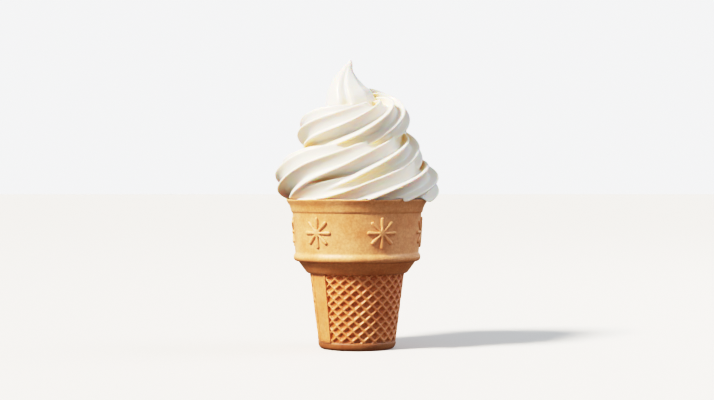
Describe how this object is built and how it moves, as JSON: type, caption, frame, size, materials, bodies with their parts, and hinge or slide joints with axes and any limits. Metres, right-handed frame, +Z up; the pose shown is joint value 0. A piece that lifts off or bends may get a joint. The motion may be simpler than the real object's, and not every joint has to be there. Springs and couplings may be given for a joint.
{
  "type": "soft serve cone",
  "caption": "Flat-bottomed wafer cup with a waffled lower body, a bead and a flared lip, filled with a tall fluted swirl of soft serve ice cream drawn up to a point.",
  "frame": {"origin": "middle of the wafer cup's flat base", "axes": "+Z up along the cup's axis, -Y towards the front, +X to the right as seen from the front"},
  "size_m": [0.0681, 0.064, 0.1183],
  "materials": {
    "baked_wafer": "dry baked wafer, matte, golden brown",
    "vanilla_soft_serve": "smooth cold cream, soft sheen"
  },
  "bodies": {
    "root": {"wafer_cup": "baked_wafer", "soft_serve": "vanilla_soft_serve"}
  },
  "joints": []
}
